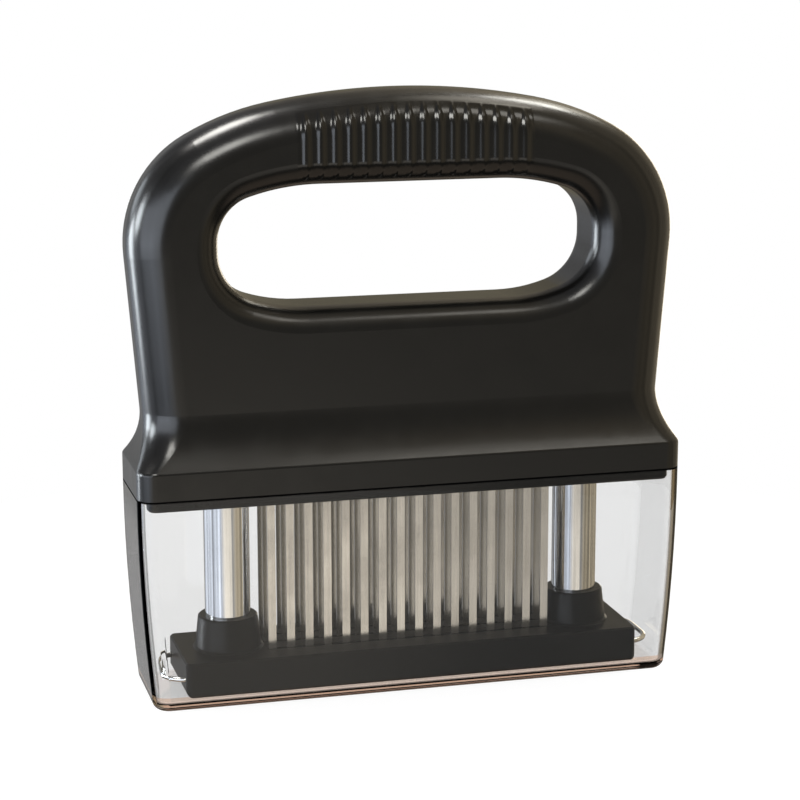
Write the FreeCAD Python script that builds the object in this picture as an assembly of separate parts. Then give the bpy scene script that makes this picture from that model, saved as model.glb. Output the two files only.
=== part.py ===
import FreeCAD, Part
import math
import os

# Hand-held blade meat tenderizer standing in its clear cover.
# Millimetres. X runs across the width, Y from front (-Y) to back, Z up.
# The origin is the middle of the cover's underside.

os.makedirs("parts", exist_ok=True)
Vector = FreeCAD.Vector
UP = Vector(0, 0, 1)
ACROSS = Vector(1, 0, 0)

# ---------------------------------------------------------------- driving sizes
FLANGE_DEPTH = 35.5
FLANGE_CORNER = 5.0
FLANGE_EDGE_ROUND = 1.2
FLANGE_OVERHANG = 27.4      # from a column's axis to the end of the flange
FLANGE_THICK = 7.7
FLARE_HEIGHT = 15.0         # hollow foot of the handle, from the flange to the waist
FLARE_REACH = 3.7           # how far the flange stands out beyond the waist at each end
BODY_DEPTH = 25.4           # front to back of the upright body and the grip
BODY_EDGE_ROUND = 11.0
SIDE_LEAN_DEG = 4.55        # the sides lean outwards by this much going up
CROWN_TURN_DEG = 11.0       # the arch turns by this much over its flat crown
SHOULDER_ARCS = [(79.0, 17.8), (34.5, 61.2 + SIDE_LEAN_DEG)]

GRIP_HEIGHT = 26.0          # from the top of the finger opening to the top of the grip
OPENING_HEIGHT = 34.2
OPENING_RISE = 17.9         # from the foot of the opening to its widest place
OPENING_WEB = 3.9           # from the roof of the spring pockets to the foot of the opening
OPENING_WALL = 21.5         # from the end of the opening to the side of the waist
OPENING_RIM_ROUND = 6.8
OPENING_UPPER_BEND = (66.0, 17.5)   # radius and turn of the first bend away from the flat top
OPENING_UPPER_UPRIGHT = 1.04        # straight part of the end, above its widest place
OPENING_LOWER_BEND = (47.0, 18.5)   # the same below
OPENING_LOWER_UPRIGHT = 1.74

RIBS_PER_SIDE = 16
RIB_PITCH = 4.22
RIB_CENTRE = 0.9            # the band of ribs sits this far to the right of the middle
RIB_WIDTH = 0.9
RIB_RISE = 0.35             # how far a grip rib stands out from the grip
RIB_TOP_BEND = 9.1          # each end of a rib bends in more tightly than the grip, and so sinks into it
RIB_FOOT_BEND = 4.7
RIB_TOP_LIFT = 0.3          # the upper bend starts this far above the straight part of the grip
RIB_FOOT_DROP = 0.4         # and the lower one this far below it

BLADES_PER_ROW = 16
BLADE_PITCH = 5.465
BLADE_WIDTH = 2.3
BLADE_THICK = 0.8
BLADE_POINT = 2.99          # length of the two-sided point
ROW_SPACING = 6.8

COLUMN_RADIUS = 6.55
COLUMN_WALL = 1.05
STROKE = 30.0               # how far the guard slides up

GUARD_END = 14.85           # from a column's axis to the end of the guard
GUARD_THICK = 9.95
GUARD_LIFT = 1.1            # the guard hangs this far above the cover's floor
BOSS_HEIGHT = 9.6
BOSS_FOOT_WALL = 3.12
BOSS_TOP_WALL = 2.01
BOSS_TOP_CHAMFER = 0.4
BOSS_FOOT_CHAMFER = 0.6
GUARD_CORNER = 2.0
GUARD_END_ROUND = 1.8       # lower edge of each end
GUARD_TOP_CHAMFER = 0.5

COVER_WALL = 1.6
COVER_FLOOR = 2.2
COVER_END_REACH = 3.35      # how far each end bows inwards from rim to underside
COVER_FOOT_ROUND = 2.6

# ---------------------------------------------------------------- fits
RUNNING_GAP = 0.05          # radial, shaft in hole
SLIP_GAP = 0.15             # all round a plate in its recess
GUARD_GAP = 0.9             # between the guard and the cover, front and back
PRESS_GAP = 4.95            # left under the base plate when the guard is right up
TIP_GAP = 2.0               # the blade tips stop this far above the underside of the guard
BASE_GAP = 1.3              # between the base plate and the cover, all round
JOIN_TOLERANCE = 0.06       # the foot of the handle meets the body this closely

# ---------------------------------------------------------------- derived sizes
BODY_HALF_DEPTH = BODY_DEPTH / 2
SIDES = {"left": -1, "right": 1}

ROW_OFFSETS = {"front": -ROW_SPACING, "middle": 0.0, "rear": ROW_SPACING}
BLADE_SPAN = (BLADES_PER_ROW - 1) * BLADE_PITCH
SLOT_WIDTH = 2 * BLADE_THICK
SLOT_LENGTH = BLADE_SPAN + BLADE_WIDTH + 0.3
TEE_WIDTH = BLADE_WIDTH + 1.4   # the blade tops are wider, so that they hang in the heads
HEAD_HALF_LENGTH = (BLADE_SPAN + TEE_WIDTH) / 2 + 0.36
HEAD_DEPTH = ROW_SPACING - 0.5

BUSH_RADIUS = COLUMN_RADIUS + 2.4
BUSH_LIP_RADIUS = COLUMN_RADIUS + 0.85
STOP_RADIUS = COLUMN_RADIUS + 1.85
STOP_HEIGHT = 1.2
GROOVE_RADIUS = COLUMN_RADIUS - 0.35
COLUMN_BORE = COLUMN_RADIUS - COLUMN_WALL
COLUMN_X = HEAD_HALF_LENGTH + 0.45 + BUSH_RADIUS
POCKET_RADIUS = BUSH_RADIUS + 0.25
FLANGE_WIDTH = 2 * (COLUMN_X + FLANGE_OVERHANG)
BODY_WAIST_HALF = FLANGE_WIDTH / 2 - FLARE_REACH
OPENING_HALF = BODY_WAIST_HALF - OPENING_WALL

GUARD_WIDTH = 2 * (COLUMN_X + GUARD_END)
GUARD_DEPTH = FLANGE_DEPTH - 2 * (COVER_WALL + GUARD_GAP)
GUARD_FOOT_Z = COVER_FLOOR + GUARD_LIFT
GUARD_TOP_Z = GUARD_FOOT_Z + GUARD_THICK
BOSS_TOP_Z = GUARD_TOP_Z + BOSS_HEIGHT
BOSS_FOOT_RADIUS = COLUMN_RADIUS + BOSS_FOOT_WALL
BOSS_TOP_RADIUS = COLUMN_RADIUS + BOSS_TOP_WALL

SKIRT_DROP = 3.8            # how far the base plate shows below the flange
BASE_THICK = 7.0
BASE_FOOT_CHAMFER = 0.6
BASE_FOOT_Z = BOSS_TOP_Z + STROKE + PRESS_GAP
BASE_TOP_Z = BASE_FOOT_Z + BASE_THICK
BASE_WIDTH = FLANGE_WIDTH - 2 * (COVER_WALL + BASE_GAP)
BASE_DEPTH = FLANGE_DEPTH - 2 * (COVER_WALL + BASE_GAP)
BASE_CORNER = 3.0
BLADE_TOP_Z = BASE_TOP_Z + 11.0
BLADE_TIP_Z = GUARD_FOOT_Z + TIP_GAP
TEE_FOOT_Z = BLADE_TOP_Z - 2.2
CHAMBER_TOP_Z = BLADE_TOP_Z + 1.0
BUSH_LIP_Z = BASE_FOOT_Z + 1.5
STOP_FOOT_Z = BASE_TOP_Z + 10.0
BUSH_TOP_Z = STOP_FOOT_Z - 0.1
COLUMN_TOP_Z = STOP_FOOT_Z + 3.0
POCKET_TOP_Z = COLUMN_TOP_Z + STROKE + 1.0

COVER_RIM_Z = BASE_FOOT_Z + SKIRT_DROP     # where the flange sits on the cover
FLANGE_TOP_Z = COVER_RIM_Z + FLANGE_THICK
FLARE_TOP_Z = FLANGE_TOP_Z + FLARE_HEIGHT
OPENING_FOOT_Z = POCKET_TOP_Z + OPENING_WEB
OPENING_MID_Z = OPENING_FOOT_Z + OPENING_RISE
OPENING_TOP_Z = OPENING_FOOT_Z + OPENING_HEIGHT
HANDLE_TOP_Z = OPENING_TOP_Z + GRIP_HEIGHT

FOOT_HALF_WIDTH = COLUMN_RADIUS + 2.25
FOOT_HALF_DEPTH = GUARD_DEPTH / 2 - 1.95
FOOT_CORNER = 2.0           # of the block under each column
FOOT_FOOT_Z = GUARD_FOOT_Z + 0.1
FOOT_TOP_Z = GUARD_TOP_Z - 3.35
SPIGOT_TOP_Z = FOOT_TOP_Z + 7.9

SPRING_RADIUS = COLUMN_BORE - 1.1
SPRING_WIRE = 0.45
SPRING_TURNS = 5
SEAT_RADIUS = COLUMN_BORE - 0.3
SEAT_THICK = 2.0
STEM_RADIUS = SPRING_RADIUS - 1.1
STEM_FOOT_Z = SPIGOT_TOP_Z + STROKE + 3.0

CLIP_Z = GUARD_FOOT_Z + 4.5
CLIP_WIRE = 0.7
CLIP_LEG_Y = FOOT_HALF_DEPTH - 1.5
CLIP_REACH = 5.75
CLIP_BEND = 7.5
CLIP_BOW_X = GUARD_WIDTH / 2 + CLIP_REACH
CLIP_END_X = COLUMN_X - 10.6


# ---------------------------------------------------------------- helpers
def rounded_outline(half_width, half_depth, corner, z):
    """Closed wire of a rectangle with round corners in a level plane."""
    w = half_width - corner
    d = half_depth - corner
    k = corner * math.sqrt(0.5)
    straights = [
        (Vector(w, -half_depth, z), Vector(-w, -half_depth, z)),
        (Vector(-half_width, -d, z), Vector(-half_width, d, z)),
        (Vector(-w, half_depth, z), Vector(w, half_depth, z)),
        (Vector(half_width, d, z), Vector(half_width, -d, z)),
    ]
    centres = [(-w, -d), (-w, d), (w, d), (w, -d)]
    edges = []
    for side in range(4):
        start, end = straights[side]
        following = straights[(side + 1) % 4][0]
        cx, cy = centres[side]
        middle = Vector(cx + math.copysign(k, cx), cy + math.copysign(k, cy), z)
        edges.append(Part.makeLine(start, end))
        edges.append(Part.Arc(end, middle, following).toShape())
    return Part.Wire(edges)


def rounded_block(half_width, half_depth, corner, z0, z1):
    """Upright block with round vertical corners."""
    outline = rounded_outline(half_width, half_depth, corner, z0)
    return Part.Face(outline).extrude(Vector(0, 0, z1 - z0))


def rounded_taper(lower, upper, corner_lower, corner_upper, z0, z1):
    """Straight taper between two level outlines, each given as half sizes."""
    foot = rounded_outline(lower[0], lower[1], corner_lower, z0)
    rim = rounded_outline(upper[0], upper[1], corner_upper, z1)
    return Part.makeLoft([foot, rim], True, True)


def upright_cylinder(radius, z0, z1, x=0.0, y=0.0):
    return Part.makeCylinder(radius, z1 - z0, Vector(x, y, z0), UP)


def box(x0, x1, y0, y1, z0, z1):
    return Part.makeBox(x1 - x0, y1 - y0, z1 - z0, Vector(x0, y0, z0))


def trough(half_width, corner, z0, z1, half_depth):
    """Block that is square seen from above, with its two lower ends rounded."""
    w = half_width - corner
    k = corner * math.sqrt(0.5)
    points = [
        Vector(-half_width, 0, z1),
        Vector(-half_width, 0, z0 + corner),
        Vector(-w - k, 0, z0 + corner - k),
        Vector(-w, 0, z0),
        Vector(w, 0, z0),
        Vector(w + k, 0, z0 + corner - k),
        Vector(half_width, 0, z0 + corner),
        Vector(half_width, 0, z1),
    ]
    edges = [
        Part.makeLine(points[0], points[1]),
        Part.Arc(points[1], points[2], points[3]).toShape(),
        Part.makeLine(points[3], points[4]),
        Part.Arc(points[4], points[5], points[6]).toShape(),
        Part.makeLine(points[6], points[7]),
        Part.makeLine(points[7], points[0]),
    ]
    face = Part.Face(Part.Wire(edges))
    face.translate(Vector(0, -half_depth, 0))
    return face.extrude(Vector(0, 2 * half_depth, 0))


def tangent_arcs(start, heading_deg, pieces):
    """Edges in the XZ plane from start: (radius, degrees) turns clockwise, (None, length) goes straight.

    The heading is measured from +X towards -Z.
    """
    x, z = start
    heading = math.radians(heading_deg)
    edges = []
    for radius, amount in pieces:
        here = Vector(x, 0, z)
        if radius is None:
            x += amount * math.cos(heading)
            z -= amount * math.sin(heading)
            edges.append(Part.makeLine(here, Vector(x, 0, z)))
            continue
        turn = math.radians(amount)
        cx = x - radius * math.sin(heading)
        cz = z - radius * math.cos(heading)
        half_way = heading + turn / 2
        middle = Vector(cx + radius * math.sin(half_way), 0, cz + radius * math.cos(half_way))
        heading += turn
        x = cx + radius * math.sin(heading)
        z = cz + radius * math.cos(heading)
        edges.append(Part.Arc(here, middle, Vector(x, 0, z)).toShape())
    return edges, (x, z)


def mirrored(shapes, point=Vector(0, 0, 0), normal=ACROSS):
    return [shape.mirror(point, normal) for shape in shapes]


def export(shape, node):
    shape.exportStep("parts/" + node + ".step")


# ---------------------------------------------------------------- handle
def crown_radius():
    """Radius of the arch's crown that brings the shoulder arcs onto the leaning side."""
    reach, level = tangent_arcs((0.0, 0.0), CROWN_TURN_DEG, SHOULDER_ARCS)[1]
    turn = math.radians(CROWN_TURN_DEG)
    lean = math.tan(math.radians(SIDE_LEAN_DEG))
    wanted = BODY_WAIST_HALF + (HANDLE_TOP_Z - FLARE_TOP_Z + level) * lean - reach
    return wanted / (math.sin(turn) + (1 - math.cos(turn)) * lean)


def body_face():
    """Front view of the upright body: an arch on two sides that lean outwards."""
    crown = (crown_radius(), CROWN_TURN_DEG)
    arch, shoulder = tangent_arcs((0.0, HANDLE_TOP_Z), 0.0, [crown] + SHOULDER_ARCS)
    waist = Vector(BODY_WAIST_HALF, 0, FLARE_TOP_Z)
    right = arch + [Part.makeLine(Vector(shoulder[0], 0, shoulder[1]), waist)]
    sill = Part.makeLine(Vector(-BODY_WAIST_HALF, 0, FLARE_TOP_Z), waist)
    edges = Part.__sortEdges__(right + mirrored(right) + [sill])
    return Part.Face(Part.Wire(edges))


def opening_quarter(height, upright, first_bend):
    """Turns for one quarter of the finger opening, ending upright at its widest place."""
    bend_radius, bend_deg = first_bend
    bend = math.radians(bend_deg)
    end_radius = (height - upright - bend_radius * (1 - math.cos(bend))) / math.cos(bend)
    straight = OPENING_HALF - bend_radius * math.sin(bend) - end_radius * (1 - math.sin(bend))
    return [(None, straight), (bend_radius, bend_deg), (end_radius, 90 - bend_deg), (None, upright)]


def opening_face():
    """Front view of the finger opening: flat above and below, with full round ends."""
    upper = opening_quarter(OPENING_HEIGHT - OPENING_RISE, OPENING_UPPER_UPRIGHT, OPENING_UPPER_BEND)
    lower = opening_quarter(OPENING_RISE, OPENING_LOWER_UPRIGHT, OPENING_LOWER_BEND)
    top_edges = tangent_arcs((0.0, OPENING_TOP_Z), 0.0, upper)[0]
    foot_edges = tangent_arcs((0.0, OPENING_FOOT_Z), 0.0, lower)[0]
    level = Vector(0, 0, OPENING_FOOT_Z)
    foot_edges = mirrored(foot_edges, level, UP)
    right = top_edges + foot_edges
    edges = Part.__sortEdges__(right + mirrored(right))
    return Part.Face(Part.Wire(edges))


def slab(face, half_depth):
    thick = face.copy()
    thick.translate(Vector(0, -half_depth, 0))
    return thick.extrude(Vector(0, 2 * half_depth, 0))


def rim_edges(shape, above_z):
    """Edges on the front and back faces, apart from those at the foot of the shape."""
    found = []
    for edge in shape.Edges:
        points = edge.discretize(5)
        on_face = all(abs(abs(p.y) - BODY_HALF_DEPTH) < 1e-4 for p in points)
        raised = any(p.z > above_z + 1e-3 for p in points)
        if on_face and raised:
            found.append(edge)
    return found


def upright_body():
    body = slab(body_face(), BODY_HALF_DEPTH)
    body = body.makeFillet(BODY_EDGE_ROUND, rim_edges(body, FLARE_TOP_Z))
    opening = slab(opening_face(), BODY_HALF_DEPTH + 5)
    body = body.cut(opening)
    rims = [edge for edge in rim_edges(body, FLARE_TOP_Z)
            if abs(edge.CenterOfMass.x) <= OPENING_HALF + 1
            and OPENING_FOOT_Z - 1 < edge.BoundBox.ZMin
            and edge.BoundBox.ZMax < OPENING_TOP_Z + 1]
    return body.makeFillet(OPENING_RIM_ROUND, rims)


def flare_section(part_way):
    """Level outline of the foot: part_way is 0 at the waist and 1 at the flange."""
    height = FLARE_TOP_Z - FLANGE_TOP_Z
    z = FLARE_TOP_Z - height * part_way
    side = hollow_reach(FLANGE_WIDTH / 2 - BODY_WAIST_HALF, height, part_way, -SIDE_LEAN_DEG)
    front = hollow_reach((FLANGE_DEPTH - BODY_DEPTH) / 2, height, part_way, 0.0)
    corner = BODY_EDGE_ROUND + (FLANGE_CORNER - BODY_EDGE_ROUND) * part_way ** 1.5
    return rounded_outline(BODY_WAIST_HALF + side, BODY_HALF_DEPTH + front, corner, z)


def hollow_reach(total, height, part_way, start_deg):
    """Sideways reach of a hollow curve that leaves at start_deg from upright and ends total out."""
    slope = math.tan(math.radians(start_deg))
    drop = height * part_way
    bend = (total - slope * height) / height ** 2
    return slope * drop + bend * drop ** 2


def handle_foot():
    """Hollow flare from the body down to the flange, and the flange band."""
    sections = [flare_section(step / 6) for step in range(7)]
    flare = Part.makeLoft(sections, True, False)
    band = rounded_block(FLANGE_WIDTH / 2, FLANGE_DEPTH / 2, FLANGE_CORNER, COVER_RIM_Z, FLANGE_TOP_Z)
    foot = flare.fuse(band)
    crease = [edge for edge in foot.Edges
              if edge.BoundBox.ZMin > FLANGE_TOP_Z - 1e-3 and edge.BoundBox.ZMax < FLANGE_TOP_Z + 1e-3]
    return foot.makeFillet(FLANGE_EDGE_ROUND, crease)


def grip_rib(x):
    """Upright bar on the front of the grip whose two ends curve in under the surface."""
    front_y = -BODY_HALF_DEPTH - RIB_RISE
    crown = crown_radius()
    crown_drop = crown - math.sqrt(crown ** 2 - x ** 2)
    top_z = HANDLE_TOP_Z - BODY_EDGE_ROUND + RIB_TOP_LIFT - crown_drop
    foot_z = OPENING_TOP_Z + OPENING_RIM_ROUND - RIB_FOOT_DROP
    k = math.sqrt(0.5)
    left_x = x - RIB_WIDTH / 2
    top = [Vector(left_x, front_y, top_z),
           Vector(left_x, front_y + RIB_TOP_BEND * (1 - k), top_z + RIB_TOP_BEND * k),
           Vector(left_x, front_y + RIB_TOP_BEND, top_z + RIB_TOP_BEND)]
    foot = [Vector(left_x, front_y + RIB_FOOT_BEND, foot_z - RIB_FOOT_BEND),
            Vector(left_x, front_y + RIB_FOOT_BEND * (1 - k), foot_z - RIB_FOOT_BEND * k),
            Vector(left_x, front_y, foot_z)]
    edges = [
        Part.Arc(*foot).toShape(),
        Part.makeLine(foot[2], top[0]),
        Part.Arc(*top).toShape(),
        Part.makeLine(top[2], foot[0]),
    ]
    return Part.Face(Part.Wire(edges)).extrude(Vector(RIB_WIDTH, 0, 0))


def grip_ribs():
    half = (RIBS_PER_SIDE - 1) / 2
    front = [grip_rib(RIB_CENTRE + RIB_PITCH * (index - half)) for index in range(RIBS_PER_SIDE)]
    return front + mirrored(front, Vector(0, 0, 0), Vector(0, 1, 0))


def handle():
    body = upright_body().fuse([handle_foot()], JOIN_TOLERANCE).fuse(grip_ribs())
    recess = rounded_block(BASE_WIDTH / 2 + SLIP_GAP, BASE_DEPTH / 2 + SLIP_GAP,
                           BASE_CORNER + SLIP_GAP, COVER_RIM_Z - 1, BASE_TOP_Z)
    chamber_half_depth = ROW_SPACING + HEAD_DEPTH / 2 + SLIP_GAP
    chamber_half_length = HEAD_HALF_LENGTH + SLIP_GAP
    chamber = box(-chamber_half_length, chamber_half_length,
                  -chamber_half_depth, chamber_half_depth, BASE_TOP_Z - 1, CHAMBER_TOP_Z)
    body = body.cut(recess).cut(chamber)
    for side in SIDES.values():
        body = body.cut(upright_cylinder(POCKET_RADIUS, BASE_TOP_Z - 1, POCKET_TOP_Z, side * COLUMN_X))
    return body.removeSplitter()


# ---------------------------------------------------------------- blades and what holds them
def blade_slot(y, z0, z1):
    half = SLOT_LENGTH / 2
    return box(-half, half, y - SLOT_WIDTH / 2, y + SLOT_WIDTH / 2, z0, z1)


def base_plate():
    plate = rounded_block(BASE_WIDTH / 2, BASE_DEPTH / 2, BASE_CORNER, BASE_FOOT_Z, BASE_TOP_Z)
    foot_edges = [edge for edge in plate.Edges if edge.BoundBox.ZMax < BASE_FOOT_Z + 1e-3]
    plate = plate.makeChamfer(BASE_FOOT_CHAMFER, foot_edges)
    for y in ROW_OFFSETS.values():
        plate = plate.cut(blade_slot(y, BASE_FOOT_Z - 1, BASE_TOP_Z + 1))
    for side in SIDES.values():
        x = side * COLUMN_X
        plate = plate.cut(upright_cylinder(BUSH_RADIUS + RUNNING_GAP, BUSH_LIP_Z, BASE_TOP_Z + 1, x))
        plate = plate.cut(upright_cylinder(BUSH_LIP_RADIUS, BASE_FOOT_Z - 1, BUSH_LIP_Z + 1, x))
    return plate


def blade_positions():
    return [BLADE_PITCH * index - BLADE_SPAN / 2 for index in range(BLADES_PER_ROW)]


def blade(x, y):
    """Flat strip with a two-sided point below and a tee at its top."""
    half = BLADE_WIDTH / 2
    tee = TEE_WIDTH / 2
    point_top_z = BLADE_TIP_Z + BLADE_POINT
    right = [(half, point_top_z), (half, TEE_FOOT_Z), (tee, TEE_FOOT_Z), (tee, BLADE_TOP_Z)]
    left = [(-across, z) for across, z in reversed(right)]
    front_y = y - BLADE_THICK / 2
    corners = [Vector(x + across, front_y, z) for across, z in [(0.0, BLADE_TIP_Z)] + right + left]
    face = Part.Face(Part.makePolygon(corners + corners[:1]))
    return face.extrude(Vector(0, BLADE_THICK, 0))


def blade_row(y):
    return Part.makeCompound([blade(x, y) for x in blade_positions()])


def blade_head(y):
    """Moulded strip with a stepped pocket for each blade, open at the top."""
    head = box(-HEAD_HALF_LENGTH, HEAD_HALF_LENGTH, y - HEAD_DEPTH / 2, y + HEAD_DEPTH / 2,
               BASE_TOP_Z, BLADE_TOP_Z)
    front_y = y - BLADE_THICK / 2
    back_y = y + BLADE_THICK / 2
    pockets = []
    for x in blade_positions():
        pockets.append(box(x - BLADE_WIDTH / 2, x + BLADE_WIDTH / 2, front_y, back_y,
                           BASE_TOP_Z - 1, TEE_FOOT_Z))
        pockets.append(box(x - TEE_WIDTH / 2, x + TEE_WIDTH / 2, front_y, back_y,
                           TEE_FOOT_Z, BLADE_TOP_Z + 1))
    return head.cut(pockets)


def blade_retainer(y):
    """Steel strip that closes the pockets of a blade head."""
    return box(-HEAD_HALF_LENGTH, HEAD_HALF_LENGTH, y - HEAD_DEPTH / 2, y + HEAD_DEPTH / 2,
               BLADE_TOP_Z, CHAMBER_TOP_Z)


# ---------------------------------------------------------------- columns and springs
def column_bush(x):
    sleeve = upright_cylinder(BUSH_RADIUS, BUSH_LIP_Z, BUSH_TOP_Z, x)
    return sleeve.cut(upright_cylinder(COLUMN_RADIUS + RUNNING_GAP, BUSH_LIP_Z - 1, BUSH_TOP_Z + 1, x))


def column(x):
    """Tube with a groove near its top for the stop ring."""
    tube = upright_cylinder(COLUMN_RADIUS, FOOT_TOP_Z, COLUMN_TOP_Z, x)
    tube = tube.cut(upright_cylinder(COLUMN_BORE, FOOT_TOP_Z - 1, COLUMN_TOP_Z + 1, x))
    groove_foot = STOP_FOOT_Z - RUNNING_GAP
    groove_top = STOP_FOOT_Z + STOP_HEIGHT + RUNNING_GAP
    collar = upright_cylinder(COLUMN_RADIUS + 1, groove_foot, groove_top, x)
    collar = collar.cut(upright_cylinder(GROOVE_RADIUS, groove_foot - 1, groove_top + 1, x))
    return tube.cut(collar)


def column_stop(x):
    ring = upright_cylinder(STOP_RADIUS, STOP_FOOT_Z, STOP_FOOT_Z + STOP_HEIGHT, x)
    return ring.cut(upright_cylinder(GROOVE_RADIUS + RUNNING_GAP, STOP_FOOT_Z - 1, COLUMN_TOP_Z, x))


def clip_leg_bores(side):
    """Bores for the two legs of a wire clip, coned at the mouth because the bend starts inside."""
    radius = CLIP_WIRE + RUNNING_GAP
    length = GUARD_WIDTH / 2 - CLIP_END_X + 2
    mouth_depth = CLIP_BEND - CLIP_REACH + 0.15
    outwards = ACROSS * side
    bores = []
    for y in (-CLIP_LEG_Y, CLIP_LEG_Y):
        start = Vector(side * (CLIP_END_X - 0.5), y, CLIP_Z)
        mouth_start = Vector(side * (GUARD_WIDTH / 2 - mouth_depth), y, CLIP_Z)
        bores.append(Part.makeCylinder(radius, length, start, outwards))
        bores.append(Part.makeCone(radius, radius + 0.3, mouth_depth, mouth_start, outwards))
    return bores


def column_foot(side):
    """Block under the column: a spigot goes up into the tube, the clip legs pass through it."""
    x = side * COLUMN_X
    block = rounded_block(FOOT_HALF_WIDTH, FOOT_HALF_DEPTH, FOOT_CORNER, FOOT_FOOT_Z, FOOT_TOP_Z)
    block.translate(Vector(x, 0, 0))
    spigot = upright_cylinder(COLUMN_BORE - RUNNING_GAP, FOOT_TOP_Z - 1, SPIGOT_TOP_Z, x)
    return block.fuse(spigot).cut(clip_leg_bores(side))


def spring_guide(x):
    """Stem with a seat for the spring, standing down from the roof of the pocket."""
    seat = upright_cylinder(SEAT_RADIUS, POCKET_TOP_Z - SEAT_THICK, POCKET_TOP_Z, x)
    stem = upright_cylinder(STEM_RADIUS, STEM_FOOT_Z, POCKET_TOP_Z - SEAT_THICK / 2, x)
    return seat.fuse(stem)


def spring(x):
    """Square-wire compression spring from the spigot to the seat."""
    foot_z = SPIGOT_TOP_Z + SPRING_WIRE + RUNNING_GAP
    height = POCKET_TOP_Z - SEAT_THICK - SPRING_WIRE - RUNNING_GAP - foot_z
    helix = Part.makeHelix(height / SPRING_TURNS, height, SPRING_RADIUS)
    corners = [Vector(SPRING_RADIUS + across * SPRING_WIRE, 0, up * SPRING_WIRE)
               for across, up in [(-1, -1), (1, -1), (1, 1), (-1, 1), (-1, -1)]]
    section = Part.makePolygon(corners)
    coil = Part.Wire(helix).makePipeShell([section], True, True)
    coil.translate(Vector(x, 0, foot_z))
    return coil


# ---------------------------------------------------------------- guard
def guard_boss(x):
    boss = Part.makeCone(BOSS_FOOT_RADIUS, BOSS_TOP_RADIUS, BOSS_HEIGHT, Vector(x, 0, GUARD_TOP_Z), UP)
    top_edges = [edge for edge in boss.Edges if edge.BoundBox.ZMin > BOSS_TOP_Z - 1e-3]
    return boss.makeChamfer(BOSS_TOP_CHAMFER, top_edges)


def guard_plate():
    """Stripper plate: two tapered bosses, three blade slots and a pocket under each column."""
    half_width = GUARD_WIDTH / 2
    half_depth = GUARD_DEPTH / 2
    plate = rounded_block(half_width, half_depth, GUARD_CORNER, GUARD_FOOT_Z, GUARD_TOP_Z)
    plate = plate.common(trough(half_width, GUARD_END_ROUND, GUARD_FOOT_Z, GUARD_TOP_Z, half_depth + 1))
    top_edges = [edge for edge in plate.Edges if edge.BoundBox.ZMin > GUARD_TOP_Z - 1e-3]
    plate = plate.makeChamfer(GUARD_TOP_CHAMFER, top_edges)
    for side in SIDES.values():
        plate = plate.fuse(guard_boss(side * COLUMN_X))
    foot_rings = [edge for edge in plate.Edges
                  if abs(edge.BoundBox.ZMin - GUARD_TOP_Z) < 1e-3
                  and abs(edge.BoundBox.XLength - 2 * BOSS_FOOT_RADIUS) < 0.1]
    plate = plate.makeChamfer(BOSS_FOOT_CHAMFER, foot_rings)
    for y in ROW_OFFSETS.values():
        plate = plate.cut(blade_slot(y, GUARD_FOOT_Z - 1, GUARD_TOP_Z + 2))
    for side in SIDES.values():
        x = side * COLUMN_X
        pocket = rounded_block(FOOT_HALF_WIDTH + RUNNING_GAP, FOOT_HALF_DEPTH + RUNNING_GAP,
                               FOOT_CORNER + RUNNING_GAP, GUARD_FOOT_Z - 1, FOOT_TOP_Z + RUNNING_GAP)
        pocket.translate(Vector(x, 0, 0))
        bore = upright_cylinder(COLUMN_RADIUS + RUNNING_GAP, GUARD_FOOT_Z, BOSS_TOP_Z + 1, x)
        plate = plate.cut([pocket, bore] + clip_leg_bores(side))
    return plate


def guard_clip(side):
    """Bent wire: two straight legs and a bow that a finger can hook."""
    bend_centre_x = CLIP_BOW_X - CLIP_BEND
    bend_centre_y = CLIP_LEG_Y - CLIP_BEND
    k = CLIP_BEND * math.sqrt(0.5)
    front = [Vector(CLIP_END_X, -CLIP_LEG_Y, CLIP_Z), Vector(bend_centre_x, -CLIP_LEG_Y, CLIP_Z)]
    corner = Vector(bend_centre_x + k, -bend_centre_y - k, CLIP_Z)
    bow = [Vector(CLIP_BOW_X, -bend_centre_y, CLIP_Z), Vector(CLIP_BOW_X, bend_centre_y, CLIP_Z)]
    edges = [
        Part.makeLine(front[0], front[1]),
        Part.Arc(front[1], corner, bow[0]).toShape(),
        Part.makeLine(bow[0], bow[1]),
    ]
    edges += mirrored(edges[:2], Vector(0, 0, 0), Vector(0, 1, 0))
    path = Part.Wire(Part.__sortEdges__(edges))
    section = Part.Wire(Part.makeCircle(CLIP_WIRE, front[0], ACROSS))
    wire = path.makePipeShell([section], True, True)
    if side < 0:
        return wire.mirror(Vector(0, 0, 0), ACROSS)
    return wire


# ---------------------------------------------------------------- cover
def bowed_profile(half, floor_z):
    """Face in the XZ plane: two ends upright at the rim that bow inwards on the way down."""
    foot_reach = COVER_END_REACH * ((COVER_RIM_Z - floor_z) / COVER_RIM_Z) ** 2
    rim = Vector(half, 0, COVER_RIM_Z)
    middle = Vector(half - foot_reach / 4, 0, (COVER_RIM_Z + floor_z) / 2)
    foot = Vector(half - foot_reach, 0, floor_z)
    side = [Part.Arc(rim, middle, foot).toShape()]
    level = [Part.makeLine(Vector(-rim.x, 0, rim.z), rim), Part.makeLine(Vector(-foot.x, 0, foot.z), foot)]
    edges = Part.__sortEdges__(side + mirrored(side) + level)
    return Part.Face(Part.Wire(edges))


def cover_block(inset, floor_z):
    """The cover's outside, or its inside when inset is the wall thickness."""
    block = slab(bowed_profile(FLANGE_WIDTH / 2 - inset, floor_z), FLANGE_DEPTH / 2 - inset)
    upright = [edge for edge in block.Edges if edge.BoundBox.ZLength > COVER_RIM_Z / 2]
    block = block.makeFillet(FLANGE_CORNER - inset, upright)
    foot = [edge for edge in block.Edges if edge.BoundBox.ZMax < floor_z + 1e-3]
    return block.makeFillet(COVER_FOOT_ROUND - inset, foot)


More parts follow.
